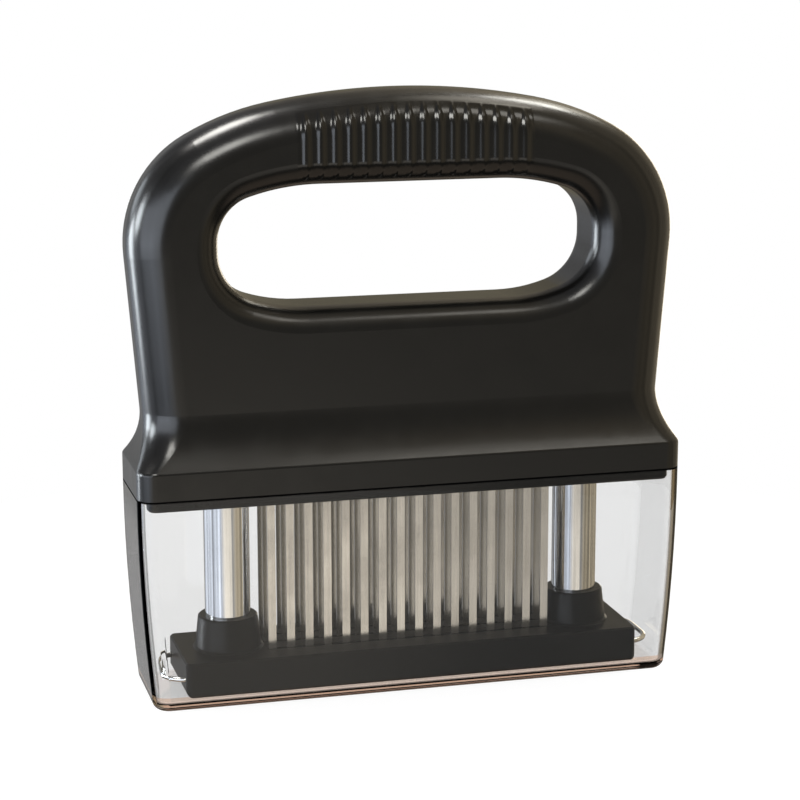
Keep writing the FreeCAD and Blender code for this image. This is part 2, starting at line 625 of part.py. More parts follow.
def cover():
    """Clear box with a closed floor and bowed ends."""
    return cover_block(0.0, 0.0).cut(cover_block(COVER_WALL, COVER_FLOOR))


# ---------------------------------------------------------------- build
export(handle(), "handle")
export(base_plate(), "base_plate")
for row, y in ROW_OFFSETS.items():
    export(blade_row(y), "blade_row_" + row)
    export(blade_head(y), "blade_head_" + row)
    export(blade_retainer(y), "blade_retainer_" + row)
for name, side in SIDES.items():
    export(column_bush(side * COLUMN_X), "column_bush_" + name)
    export(column(side * COLUMN_X), "column_" + name)
    export(column_stop(side * COLUMN_X), "column_stop_" + name)
    export(column_foot(side), "column_foot_" + name)
    export(spring_guide(side * COLUMN_X), "spring_guide_" + name)
    export(spring(side * COLUMN_X), "spring_" + name)
    export(guard_clip(side), "clip_" + name)
export(guard_plate(), "guard_plate")
export(cover(), "cover")
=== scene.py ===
import math

import bpy
from mathutils import Matrix, Vector


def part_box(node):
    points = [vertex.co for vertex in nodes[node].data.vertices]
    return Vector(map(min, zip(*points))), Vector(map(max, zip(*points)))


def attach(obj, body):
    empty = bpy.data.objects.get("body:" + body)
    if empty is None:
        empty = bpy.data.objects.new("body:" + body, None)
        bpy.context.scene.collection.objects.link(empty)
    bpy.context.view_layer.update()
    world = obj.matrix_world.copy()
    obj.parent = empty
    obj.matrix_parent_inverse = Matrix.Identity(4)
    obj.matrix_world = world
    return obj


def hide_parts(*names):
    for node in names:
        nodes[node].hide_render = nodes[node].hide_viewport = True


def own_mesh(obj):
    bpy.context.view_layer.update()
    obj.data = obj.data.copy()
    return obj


# Looks for a hand-held blade meat tenderizer standing in its clear cover.
# X runs across the width, -Y is the front, Z is up. Blender works in metres.

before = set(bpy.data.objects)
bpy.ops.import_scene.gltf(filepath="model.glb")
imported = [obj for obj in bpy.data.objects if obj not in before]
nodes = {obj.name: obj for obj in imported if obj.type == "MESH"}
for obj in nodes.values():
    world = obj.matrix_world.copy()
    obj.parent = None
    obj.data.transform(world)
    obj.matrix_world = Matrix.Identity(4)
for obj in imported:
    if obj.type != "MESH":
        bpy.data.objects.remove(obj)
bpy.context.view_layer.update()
scene = bpy.context.scene
MM = 0.001
X, Y, Z = range(3)


# ---------------------------------------------------------------- camera
CAMERA_AZIMUTH = math.radians(14.978)       # how far it looks to the right of straight ahead
CAMERA_FALL = math.radians(12.173)          # how far it looks down
CAMERA_ROLL = -0.0010336836                 # radians
CAMERA_PLACE = Vector((-0.171145, -0.636348, 0.224777))
CAMERA_SENSOR = 36.0                        # millimetres, as is the lens
CAMERA_LENS = 104.8759


def place_camera():
    """A long lens, low and to the left of the front."""
    ahead = Vector((math.sin(CAMERA_AZIMUTH) * math.cos(CAMERA_FALL),
                    math.cos(CAMERA_AZIMUTH) * math.cos(CAMERA_FALL), -math.sin(CAMERA_FALL)))
    level = Vector((math.cos(CAMERA_AZIMUTH), -math.sin(CAMERA_AZIMUTH), 0.0))
    upright = level.cross(ahead)
    right = level * math.cos(CAMERA_ROLL) + upright * math.sin(CAMERA_ROLL)
    up = upright * math.cos(CAMERA_ROLL) - level * math.sin(CAMERA_ROLL)
    data = bpy.data.cameras.new("camera")
    data.sensor_width = CAMERA_SENSOR
    data.lens = CAMERA_LENS
    camera = bpy.data.objects.new("camera", data)
    rows = [(right[i], up[i], -ahead[i], CAMERA_PLACE[i]) for i in range(3)]
    camera.matrix_world = Matrix(rows + [(0.0, 0.0, 0.0, 1.0)])
    scene.collection.objects.link(camera)
    scene.camera = camera


# ---------------------------------------------------------------- helpers
def rgb(red, green, blue):
    return (red, green, blue, 1.0)


def grey(level):
    return rgb(level, level, level)


def scaled(colour, factor):
    return rgb(*[factor * part for part in colour[:3]])


class Tree:
    """Short calls for building one node tree."""

    def __init__(self, tree):
        self.tree = tree
        tree.nodes.clear()

    def add(self, kind, **values):
        node = self.tree.nodes.new(kind)
        for name, value in values.items():
            setattr(node, name, value)
        return node

    def link(self, source, target):
        self.tree.links.new(source, target)

    def feed(self, socket, value):
        if isinstance(value, bpy.types.NodeSocket):
            self.link(value, socket)
        else:
            socket.default_value = value

    def math(self, operation, a, b=0.0, c=0.0):
        node = self.add("ShaderNodeMath", operation=operation)
        for socket, value in zip(node.inputs, (a, b, c)):
            self.feed(socket, value)
        return node.outputs[0]

    def times(self, first, *others):
        for other in others:
            first = self.math("MULTIPLY", first, other)
        return first

    def dot(self, a, b):
        node = self.add("ShaderNodeVectorMath", operation="DOT_PRODUCT")
        self.feed(node.inputs[0], a)
        self.feed(node.inputs[1], b)
        return node.outputs["Value"]

    def xyz(self, vector):
        node = self.add("ShaderNodeSeparateXYZ")
        self.link(vector, node.inputs[0])
        return node.outputs

    def ramp(self, value, low, high, to_low=0.0, to_high=1.0, smooth=True):
        kind = "SMOOTHSTEP" if smooth else "LINEAR"
        node = self.add("ShaderNodeMapRange", interpolation_type=kind)
        for socket, number in zip(node.inputs[:5], (value, low, high, to_low, to_high)):
            self.feed(socket, number)
        return node.outputs[0]

    def band(self, value, rise, fall):
        """1 between two soft edges, each given by where it begins and ends."""
        return self.times(self.ramp(value, *rise), self.ramp(value, *fall))

    def mix(self, factor, a, b, blend="MIX"):
        node = self.add("ShaderNodeMix", data_type="RGBA", blend_type=blend)
        self.feed(node.inputs["Factor"], factor)
        self.feed(node.inputs[6], a)
        self.feed(node.inputs[7], b)
        return node.outputs[2]

    def grey(self, value):
        """A number that varies, as a colour."""
        node = self.add("ShaderNodeCombineColor")
        for socket in node.inputs[:3]:
            self.link(value, socket)
        return node.outputs[0]

    def dimmed(self, colour, value):
        """A colour times a number that varies."""
        return self.mix(1.0, colour, self.grey(value), "MULTIPLY")

    def noise(self, place, scale, detail=2.0, roughness=0.5):
        node = self.add("ShaderNodeTexNoise")
        self.feed(node.inputs["Vector"], place)
        node.inputs["Scale"].default_value = scale
        node.inputs["Detail"].default_value = detail
        node.inputs["Roughness"].default_value = roughness
        return node.outputs["Fac"]

    def stretched(self, place, factors):
        node = self.add("ShaderNodeMapping")
        self.feed(node.inputs["Vector"], place)
        node.inputs["Scale"].default_value = factors
        return node.outputs[0]

    def bump(self, height, strength, distance, normal=None):
        node = self.add("ShaderNodeBump")
        node.inputs["Strength"].default_value = strength
        node.inputs["Distance"].default_value = distance
        self.feed(node.inputs["Height"], height)
        if normal is not None:
            self.link(normal, node.inputs["Normal"])
        return node.outputs[0]

    def mix_shaders(self, factor, first, second):
        node = self.add("ShaderNodeMixShader")
        self.link(factor, node.inputs["Fac"])
        self.link(first.outputs[0], node.inputs[1])
        self.link(second.outputs[0], node.inputs[2])
        return node

    def show(self, shader, output="ShaderNodeOutputMaterial"):
        self.link(shader.outputs[0], self.add(output).inputs["Surface"])


def new_material(name):
    """A material, its tree and the coordinates to build on."""
    material = bpy.data.materials.new(name)
    material.use_nodes = True
    tree = Tree(material.node_tree)
    return material, tree, tree.add("ShaderNodeTexCoord").outputs["Object"]


def add_mesh(name, spots, faces, material, smooth):
    """A mesh object in the scene. smooth says of each face whether it is shaded smooth."""
    mesh = bpy.data.meshes.new(name)
    mesh.from_pydata(spots, [], faces)
    mesh.polygons.foreach_set("use_smooth", smooth)
    mesh.materials.append(material)
    piece = bpy.data.objects.new(name, mesh)
    scene.collection.objects.link(piece)
    return piece


# ---------------------------------------------------------------- plastic and steel
SATIN_DARK = rgb(0.0040, 0.0038, 0.0034)
SATIN_LIGHT = rgb(0.0056, 0.0053, 0.0046)
TONES = 38.0                # waves a metre, as are the next five
SMEARS = 120.0
FLOW_MARKS = 85.0
SPARK_GRAIN = 2600.0
RUBBED_PATCHES = 240.0
SMUDGES = 55.0
SMEAR_ROUGHNESS = 0.02      # how far the roughness wanders either way
FLOW_DEPTH = 0.02 * MM
SPARK_DEPTH = 0.012 * MM
RUBBED_PALER = 1.8
RUBBED_ROUGHER = 0.10
SMUDGE_SHADE = 0.86


def moulded_plastic(name, dark, light, roughness, grain, edge_radius, shine=0.5):
    """Black satin moulding: fine spark-eroded grain, faint flow marks, edges rubbed a bit paler."""
    material, tree, place = new_material(name)
    shader = tree.add("ShaderNodeBsdfPrincipled")
    worn = rubbed_edges(tree, place, edge_radius)
    colour = tree.mix(tree.noise(place, TONES, 3.0), dark, light)
    tree.link(tree.mix(worn, colour, scaled(light, RUBBED_PALER)), shader.inputs["Base Color"])
    smear = tree.noise(place, SMEARS, 3.0)
    level = tree.ramp(smear, 0.3, 0.7, roughness - SMEAR_ROUGHNESS, roughness + SMEAR_ROUGHNESS)
    tree.link(tree.math("MULTIPLY_ADD", worn, RUBBED_ROUGHER, level), shader.inputs["Roughness"])
    waves = tree.bump(tree.noise(place, FLOW_MARKS, 1.0), 0.25, FLOW_DEPTH)
    fine = tree.noise(place, SPARK_GRAIN, 2.0)
    tree.link(tree.bump(fine, grain, SPARK_DEPTH, waves), shader.inputs["Normal"])
    shader.inputs["Specular IOR Level"].default_value = shine
    tree.show(shader)
    return material


def rubbed_edges(tree, place, radius):
    """0 on the open faces, up to 1 in patches along the sharp edges."""
    bevel = tree.add("ShaderNodeBevel", samples=4)
    bevel.inputs["Radius"].default_value = radius
    true_normal = tree.add("ShaderNodeNewGeometry").outputs["Normal"]
    edge = tree.ramp(tree.dot(bevel.outputs[0], true_normal), 0.97, 0.80)
    patches = tree.ramp(tree.noise(place, RUBBED_PATCHES, 4.0, 0.65), 0.48, 0.72)
    return tree.times(edge, patches)


def bright_steel(name, colour, roughness, lines, line_depth, contrast=0.08, fineness=900.0,
                 painted_shade=None):
    """Drawn or ground steel: fine lines, roughness that wanders, a few smudges.
    lines stretch the grain along X, Y and Z. The last argument darkens it along an axis, as painted
    shade: axis, from, to, level."""
    material, tree, place = new_material(name)
    shader = tree.add("ShaderNodeBsdfPrincipled")
    grain = tree.noise(tree.stretched(place, lines), fineness, 3.0, 0.6)
    smudge = tree.noise(place, SMUDGES, 3.0)
    tint = tree.mix(tree.ramp(smudge, 0.35, 0.75), colour, scaled(colour, SMUDGE_SHADE))
    streak = tree.ramp(grain, 0.30, 0.70, 1.0 - contrast, 1.0 + 0.6 * contrast, smooth=False)
    # Painted shade: darker along one axis, as the last argument gives.
    if painted_shade:
        axis, begins, ends, level = painted_shade
        streak = tree.times(streak, tree.ramp(tree.xyz(place)[axis], begins, ends, 1.0, level))
    tree.link(tree.dimmed(tint, streak), shader.inputs["Base Color"])
    wander = tree.ramp(smudge, 0.3, 0.7, roughness * 0.85, roughness * 1.25)
    tree.link(wander, shader.inputs["Roughness"])
    tree.link(tree.bump(grain, 0.5, line_depth), shader.inputs["Normal"])
    shader.inputs["Metallic"].default_value = 1.0
    tree.show(shader)
    return material


# ---------------------------------------------------------------- clear cover
SCRATCHES = 420.0                           # waves a metre, as are the next two
HAZE = 30.0
WALL_WAVES = 45.0
WAVE_DEPTH = 0.02 * MM
SCRATCH_ROUGHNESS = 0.05
CLEAR_IOR = 1.49
PAINTED_SHADE_CORNER_IOR = 1.03                      # so that the corner painted dark mirrors next to nothing
RIM_PAINTED_SHADOW = grey(0.003)
STRAIGHT_COLOUR = grey(0.93)                # of light that passes unbent
RIM_SHADOW_BAND = (60.95 * MM, 61.10 * MM)         # height where the painted shadow line along the rim begins
CLEAR_TINT = rgb(0.900, 0.902, 0.902)
END_WALL_BAND = (73.0 * MM, 74.0 * MM)      # distance from the middle where the end walls begin
END_WALL_TURN = (0.90, 0.985)               # how squarely a face looks sideways, as a cosine
END_WALL_GRAZING = (0.45, 0.68)             # how nearly it is seen along its surface
# Painted shade on the end walls seen at a grazing angle, and darker painted shade under the rim.
END_WALL_PAINTED_SHADE = rgb(0.085, 0.080, 0.078)
UNDER_RIM_BAND = (50.0 * MM, 60.0 * MM)
UNDER_RIM_PAINTED_SHADE = rgb(0.012, 0.012, 0.010)
# Bands of painted shade and painted reflection round the upright corners: the cosines where each
# rises and where it falls.
LEFT_CORNER = ((0.80, 0.86), (0.995, 0.985))
LEFT_CORNER_PAINTED_SHADE = rgb(0.0008, 0.0009, 0.0016)
RIGHT_CORNER_RISE = (0.15, 0.50)
RIGHT_CORNER_PAINTED_REFLECTION = rgb(0.40, 0.29, 0.16)
RIGHT_LINE = ((0.54, 0.64), (0.80, 0.72))
RIGHT_LINE_PAINTED_DARK = rgb(0.0020, 0.0010, 0.0004)
# Painted reflections in bands round the foot, downwards: height where each begins, height where it
# is full, tint.
FOOT_PAINTED_REFLECTIONS = (
    (4.70 * MM, 4.40 * MM, rgb(0.86, 0.56, 0.41)),
    (2.70 * MM, 2.45 * MM, rgb(0.84, 0.66, 0.54)),
    (1.45 * MM, 1.30 * MM, rgb(0.05, 0.020, 0.012)),
    (0.90 * MM, 0.75 * MM, rgb(0.30, 0.25, 0.21)),
)
UPRIGHT_TURN = (0.97, 0.90)                 # how little a face looks up or down, as a cosine
OUTER_SIDE = 1.0 * MM                       # an outer face looks outwards by at least this


def clear_plastic(name):
    """Clear moulded cover with a few scratches, a painted shadow line along its rim, and painted
    shade and painted reflections at its corners and foot. Lamps shine through it.
    """
    material, tree, place = new_material(name)
    shader = tree.add("ShaderNodeBsdfPrincipled")
    scratch = tree.noise(tree.stretched(place, (1.0, 1.0, 9.0)), SCRATCHES, 3.0, 0.7)
    hazy = tree.noise(place, HAZE, 2.0)
    marks = tree.times(tree.ramp(scratch, 0.66, 0.80), tree.ramp(hazy, 0.45, 0.65))
    scratched = tree.ramp(marks, 0.0, 1.0, 0.0, SCRATCH_ROUGHNESS, smooth=False)
    tree.link(scratched, shader.inputs["Roughness"])
    waves = tree.bump(tree.noise(place, WALL_WAVES, 1.0), 0.15, WAVE_DEPTH)
    tree.link(waves, shader.inputs["Normal"])
    # Painted shade and painted reflections come with the tint; the second value marks the corner
    # painted dark.
    tint, painted_dark_corner = cover_tint_and_painted_light(tree, place)
    tree.link(tint, shader.inputs["Base Color"])
    index = tree.ramp(painted_dark_corner, 0.0, 1.0, CLEAR_IOR, PAINTED_SHADE_CORNER_IOR, smooth=False)
    tree.link(index, shader.inputs["IOR"])
    shader.inputs["Transmission Weight"].default_value = 1.0
    # Painted shadow: a near-black matt band at the top of the rim, under the flange.
    rim_shadow = tree.add("ShaderNodeBsdfDiffuse")
    rim_shadow.inputs["Color"].default_value = RIM_PAINTED_SHADOW
    walls = tree.mix_shaders(tree.ramp(tree.xyz(place)[Z], *RIM_SHADOW_BAND), shader, rim_shadow)
    straight = tree.add("ShaderNodeBsdfTransparent")
    straight.inputs["Color"].default_value = STRAIGHT_COLOUR
    tree.show(tree.mix_shaders(passes_straight(tree), walls, straight))
    return material


def cover_tint_and_painted_light(tree, place):
    """Clear tint on the flats. Met from outside, the end walls and the upright corners get painted
    shade, painted reflections and painted dark lines, and the foot gets painted reflections.
    Gives back the colour and where the painted dark left corner is."""
    surface = tree.add("ShaderNodeNewGeometry")
    across, deep, height = tree.xyz(place)
    facing_x, facing_y, facing_z = tree.xyz(surface.outputs["Normal"])
    outside = tree.math("SUBTRACT", 1.0, surface.outputs["Backfacing"])
    outward = tree.times(across, facing_x)
    outer = tree.times(outside, tree.math("GREATER_THAN", outward, OUTER_SIDE))
    outer = tree.times(outer, tree.ramp(tree.math("ABSOLUTE", across), *END_WALL_BAND))
    square = tree.ramp(tree.math("ABSOLUTE", facing_x), *END_WALL_TURN)
    # Painted shade on the outer end walls seen at a grazing angle, darker still under the rim.
    painted_end_wall = tree.times(outer, square, grazing(tree))
    colour = tree.mix(painted_end_wall, CLEAR_TINT, END_WALL_PAINTED_SHADE)
    painted_under_rim_shade = tree.times(painted_end_wall, tree.ramp(height, *UNDER_RIM_BAND))
    colour = tree.mix(painted_under_rim_shade, colour, UNDER_RIM_PAINTED_SHADE)
    # Painted shade: a dark band round the left upright corner.
    painted_dark_left = tree.times(outer, tree.band(tree.times(facing_x, -1.0), *LEFT_CORNER))
    colour = tree.mix(painted_dark_left, colour, LEFT_CORNER_PAINTED_SHADE)
    # Painted reflection: a cream band round the right upright corner, with a painted dark line
    # inside it.
    painted_cream_right = tree.times(outer, tree.ramp(facing_x, *RIGHT_CORNER_RISE))
    colour = tree.mix(painted_cream_right, colour, RIGHT_CORNER_PAINTED_REFLECTION)
    painted_dark_line_right = tree.times(outer, tree.band(facing_x, *RIGHT_LINE))
    colour = tree.mix(painted_dark_line_right, colour, RIGHT_LINE_PAINTED_DARK)
    sideways = tree.math("MULTIPLY_ADD", deep, facing_y, outward)
    outer_face = tree.times(outside, tree.math("GREATER_THAN", sideways, OUTER_SIDE))
    upright = tree.times(outer_face, tree.ramp(tree.math("ABSOLUTE", facing_z), *UPRIGHT_TURN))
    # Painted reflections: bands of colour round the foot of the outer walls.
    for begins, full, tint in FOOT_PAINTED_REFLECTIONS:
        colour = tree.mix(tree.times(upright, tree.ramp(height, begins, full)), colour, tint)
    return colour, painted_dark_left


def grazing(tree):
    """0 for a wall faced squarely, 1 for one seen nearly along its surface."""
    facing = tree.add("ShaderNodeLayerWeight")
    facing.inputs["Blend"].default_value = 0.5
    return tree.ramp(facing.outputs["Facing"], *END_WALL_GRAZING)


def passes_straight(tree):
    """1 for shadow rays, scattered light and broad reflections, which would miss the lamps if
    they were bent."""
    rays = tree.add("ShaderNodeLightPath").outputs
    sharp = tree.math("MAXIMUM", rays["Is Singular Ray"], rays["Is Transmission Ray"])
    broad = tree.times(rays["Is Glossy Ray"], tree.math("SUBTRACT", 1.0, sharp))
    soft = tree.math("MAXIMUM", rays["Is Shadow Ray"], rays["Is Diffuse Ray"])
    return tree.math("MAXIMUM", broad, soft)


# ---------------------------------------------------------------- finishes
def dress(node, material):
    slots = nodes[node].material_slots
    if not slots:
        nodes[node].data.materials.append(material)
    for slot in slots:
        slot.material = material


def dress_all():
    """Finishes for the CAD nodes. Gives back those for the ribs and the spring coils."""
    black = moulded_plastic("satin_black", SATIN_DARK, SATIN_LIGHT,
                            roughness=0.235, grain=0.30, edge_radius=0.5 * MM)
    inner_black = moulded_plastic("inner_black", rgb(0.0042, 0.0039, 0.0032),
                                  rgb(0.0058, 0.0052, 0.0042),
                                  roughness=0.30, grain=0.05, edge_radius=0.35 * MM, shine=0.11)
    bush = moulded_plastic("bush_black", grey(0.011), rgb(0.014, 0.014, 0.0135),
                           roughness=0.30, grain=0.12, edge_radius=0.2 * MM)
    # The right column is painted darker than the left, as painted shade.
    chrome = bright_steel("column_chrome", grey(0.88), roughness=0.05,
                          lines=(1.0, 1.0, 0.02), line_depth=0.0015 * MM,
                          contrast=0.26, fineness=620.0, painted_shade=(X, 0.0, 60.0 * MM, 0.72))
    # The blade rows further back are painted darker, as painted shade.
    blade = bright_steel("blade_steel", rgb(0.92, 0.885, 0.83), roughness=0.20,
                         lines=(1.0, 1.0, 0.03), line_depth=0.003 * MM,
                         contrast=0.12, painted_shade=(Y, -7.0 * MM, 2.0 * MM, 0.56))
    plain = bright_steel("plain_steel", grey(0.55), roughness=0.30,
                         lines=(1.0, 1.0, 0.1), line_depth=0.003 * MM)
    wire = bright_steel("clip_wire", rgb(0.84, 0.84, 0.83), roughness=0.12,
                        lines=(1.0, 1.0, 1.0), line_depth=0.002 * MM)
    chosen = {"handle": black, "base_plate": inner_black, "guard_plate": inner_black,
              "cover": clear_plastic("clear_cover")}
    for side in ("left", "right"):
        chosen.update({"column_" + side: chrome, "column_bush_" + side: bush,
                       "column_stop_" + side: plain, "column_foot_" + side: inner_black,
                       "spring_guide_" + side: bush, "clip_" + side: wire})
    for row in ("front", "middle", "rear"):
        chosen.update({"blade_row_" + row: blade, "blade_head_" + row: bush,
                       "blade_retainer_" + row: plain})
    for node, material in chosen.items():
        dress(node, material)
    ribs = moulded_plastic("rib_black", SATIN_DARK, SATIN_LIGHT,
                           roughness=0.16, grain=0.25, edge_radius=0.3 * MM)
    return ribs, plain


# ---------------------------------------------------------------- grip ribs
HALF_DEPTH = 12.7           # of the grip; millimetres, as are the next sizes
TOP_ROUND = 11.0
RIM_ROUND = 6.8
CROWN_RADIUS = 204.44
TOP_Z = 172.9
OPENING_TOP_Z = 146.9
OPENING_LEVEL = 26.0        # from the middle to where the opening's roof begins to fall
OPENING_FALL = 132.0        # the fall is the square of the way beyond that, over this
RIBS = 16
RIB_PITCH = 4.22
RIB_CENTRE = 0.9
RIB_SLOPE = 0.350           # steepest slope of a rib's flank
RIB_HALF_CREST = 0.77       # from the crest to the steepest place
RIB_BLEND = 0.06
RIB_OVERSINK = 0.06
RIB_TOP_TURN = math.radians(44.0)       # how far round the upper edge a rib has sunk away
RIB_FOOT_TURN = math.radians(52.0)
PATCH_SPARE_TURN = math.radians(9.0)
PATCH_SPARE_WIDTH = 1.6
PATCH_FADE = 1.8            # width of the border that dips into the handle
PATCH_DIP = 0.14
PATCH_LIFT = 0.02
COLUMNS_A_RIB = 24
PATCH_ROWS = 96


def smooth_step(value, low, high):
    t = min(max((value - low) / (high - low), 0.0), 1.0)
    return t * t * (3 - 2 * t)


def flank(across):
    """Drop of a rib's surface below its crest: two quarter waves, short at the crest and long in
    the valley."""
    quarter = math.pi / 2
    if across < RIB_HALF_CREST:
        wave = 1 - math.cos(quarter * across / RIB_HALF_CREST)
        return RIB_SLOPE * RIB_HALF_CREST / quarter * wave
    valley = RIB_PITCH / 2 - RIB_HALF_CREST
    way = min((across - RIB_HALF_CREST) / valley, 1.0)
    return RIB_SLOPE / quarter * (RIB_HALF_CREST + valley * math.sin(quarter * way))


RIB_HEIGHT = flank(RIB_PITCH)


def sunk(turn, end_turn):
    """How far a rib has sunk where the grip has turned away by this angle."""
    return (RIB_HEIGHT + RIB_OVERSINK) * (1 - math.cos(turn)) / (1 - math.cos(end_turn))


def grip_profile(x, share):
    """Point and outward normal on the front of the grip at a share of the way up, how far a rib
    has sunk there, and the way to the nearer end."""
    top_z = TOP_Z - (CROWN_RADIUS - math.sqrt(CROWN_RADIUS ** 2 - x * x))
    over = max(0.0, abs(x) - OPENING_LEVEL)
    foot_z = OPENING_TOP_Z - over * over / OPENING_FALL + RIM_ROUND
    upper_z = top_z - TOP_ROUND
    foot_turn = RIB_FOOT_TURN + PATCH_SPARE_TURN
    foot_run = RIM_ROUND * foot_turn
    top_run = TOP_ROUND * (RIB_TOP_TURN + PATCH_SPARE_TURN)
    whole = foot_run + upper_z - foot_z + top_run
    run = whole * share
    spare_run = min(run, whole - run)
    if run < foot_run:
        turn = foot_turn - run / RIM_ROUND
        normal = Vector((0.0, -math.cos(turn), -math.sin(turn)))
        point = Vector((x, RIM_ROUND - HALF_DEPTH, foot_z)) + normal * RIM_ROUND
        return point, normal, sunk(turn, RIB_FOOT_TURN), spare_run
    if run < foot_run + upper_z - foot_z:
        point = Vector((x, -HALF_DEPTH, foot_z + run - foot_run))
        return point, Vector((0.0, -1.0, 0.0)), 0.0, spare_run
    turn = (run - foot_run - upper_z + foot_z) / TOP_ROUND
    point = Vector((x, TOP_ROUND - HALF_DEPTH - TOP_ROUND * math.cos(turn),
                    upper_z + TOP_ROUND * math.sin(turn)))
    lean = math.sin(turn) * x / CROWN_RADIUS
    normal = Vector((lean, -math.cos(turn), math.sin(turn))).normalized()
    return point, normal, sunk(turn, RIB_TOP_TURN), spare_run


def rib_height(x, sinking):
    """Rise of the ribbed surface over the plain grip."""
    middle = (RIBS - 1) / 2
    nearest = min(max(round((x - RIB_CENTRE) / RIB_PITCH + middle), 0), RIBS - 1)
    across = abs(x - RIB_CENTRE - RIB_PITCH * (nearest - middle))
    above = RIB_HEIGHT - flank(across) - sinking
    return 0.5 * (above + math.sqrt(above * above + RIB_BLEND ** 2))


def rib_patch(name, back, material):
    """One skin over the ribbed part of the grip, its edge let into the handle all round."""
    half_width = RIB_PITCH * RIBS / 2 + PATCH_SPARE_WIDTH
    columns = RIBS * COLUMNS_A_RIB
    grid = []
    for row in range(PATCH_ROWS + 1):
        for column in range(columns + 1):
            from_middle = half_width * (2 * column / columns - 1)
            x = RIB_CENTRE + from_middle
            point, normal, sinking, spare_run = grip_profile(x, row / PATCH_ROWS)
            edge = min(spare_run, half_width - abs(from_middle))
            rise = rib_height(x, sinking) - RIB_BLEND / 2 + PATCH_LIFT
            rise -= PATCH_DIP * (1 - smooth_step(edge, 0.0, PATCH_FADE))
            spot = (point + normal * rise) * MM
            grid.append((spot.x, -spot.y, spot.z) if back else tuple(spot))
    faces = []
    for row in range(PATCH_ROWS):
        for column in range(columns):
            a = row * (columns + 1) + column
            face = (a, a + 1, a + columns + 2, a + columns + 1)
            faces.append(face[::-1] if back else face)
    piece = add_mesh(name, grid, faces, material, [True] * len(faces))
    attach(piece, "tool")


# ---------------------------------------------------------------- springs
SPRING_WIRE = 0.45 * MM     # half the wire's thickness in the part
SPRING_TURNS = 5
CLOSED_TURNS = 1            # close-wound turns at each end
CLOSED_PITCH = 2.1 * SPRING_WIRE        # a little over the wire's thickness
STEPS_A_TURN = 32
WIRE_SIDES = 10


def coil_height(turns, low, high):
    """Height of the wire's middle after so many turns: close-wound at both ends, evenly open
    between."""
    foot = low + SPRING_WIRE
    top = high - SPRING_WIRE
    if turns < CLOSED_TURNS:
        return foot + CLOSED_PITCH * turns
    if turns > SPRING_TURNS + CLOSED_TURNS:
        return top - CLOSED_PITCH * (SPRING_TURNS + 2 * CLOSED_TURNS - turns)
    open_foot = foot + CLOSED_PITCH * CLOSED_TURNS
    open_top = top - CLOSED_PITCH * CLOSED_TURNS
    return open_foot + (open_top - open_foot) * (turns - CLOSED_TURNS) / SPRING_TURNS


def spring_coil(side, material):
    """Round-wire coil in the place of the part's spring. The part's spring shortens as the guard
    goes up; nothing here changes this coil's length.
    """
    low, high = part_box("spring_" + side)
    middle = (low + high) / 2
    radius = (high.x - low.x) / 2 - SPRING_WIRE
    spots = []
    last = STEPS_A_TURN * (SPRING_TURNS + 2 * CLOSED_TURNS)
    for step in range(last + 1):
        turn = 2 * math.pi * step / STEPS_A_TURN
        outward = Vector((math.cos(turn), math.sin(turn), 0.0))
        centre = Vector((middle.x, middle.y, 0.0)) + outward * radius
        centre.z = coil_height(step / STEPS_A_TURN, low.z, high.z)
        for part in range(WIRE_SIDES):
            bend = 2 * math.pi * part / WIRE_SIDES
            away = outward * math.cos(bend) + Vector((0.0, 0.0, math.sin(bend)))
            spots.append(tuple(centre + away * SPRING_WIRE))
    end = len(spots) - 1
    faces = [tuple(range(WIRE_SIDES)), tuple(range(end, end - WIRE_SIDES, -1))]
    for step in range(last):
        for part in range(WIRE_SIDES):
            a = step * WIRE_SIDES + part
            b = step * WIRE_SIDES + (part + 1) % WIRE_SIDES
            faces.append((a, a + WIRE_SIDES, b + WIRE_SIDES, b))
    rounded = [len(face) == 4 for face in faces]
    piece = add_mesh("spring_coil_" + side, spots, faces, material, rounded)
    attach(piece, "tool")
    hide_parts("spring_" + side)
    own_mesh(piece)


# ---------------------------------------------------------------- studio
SOFTBOX_DISTANCE = 2.2
SOFTBOX_AIM = Vector((0.0, 0.0, 0.09))


def heading(azimuth, elevation):
    """Direction from the object: azimuth 0 is the front, positive to the right."""
    a = math.radians(azimuth)
    e = math.radians(elevation)
    return Vector((math.sin(a) * math.cos(e), -math.cos(a) * math.cos(e), math.sin(e)))


def softbox(name, azimuth, elevation, half_wide, half_high, radiance, colour, shape="ELLIPSE"):
    """Soft light of the given half angles as seen from the object, round unless said otherwise.
    All angles are in degrees."""
    data = bpy.data.lights.new(name, "AREA")
    data.shape = shape
    data.size = 2 * SOFTBOX_DISTANCE * math.tan(math.radians(half_wide))
    data.size_y = 2 * SOFTBOX_DISTANCE * math.tan(math.radians(half_high))
    data.color = colour
    fullness = math.pi / 4 if shape == "ELLIPSE" else 1.0
    data.energy = radiance * math.pi * (fullness * data.size * data.size_y)
    lamp = bpy.data.objects.new(name, data)
    aim = heading(azimuth, elevation)
    lamp.location = SOFTBOX_AIM + aim * SOFTBOX_DISTANCE
    lamp.rotation_euler = aim.to_track_quat("Z", "Y").to_euler()
    lamp.visible_camera = False
    lamp.visible_transmission = False
    lamp.visible_diffuse = False
    scene.collection.objects.link(lamp)


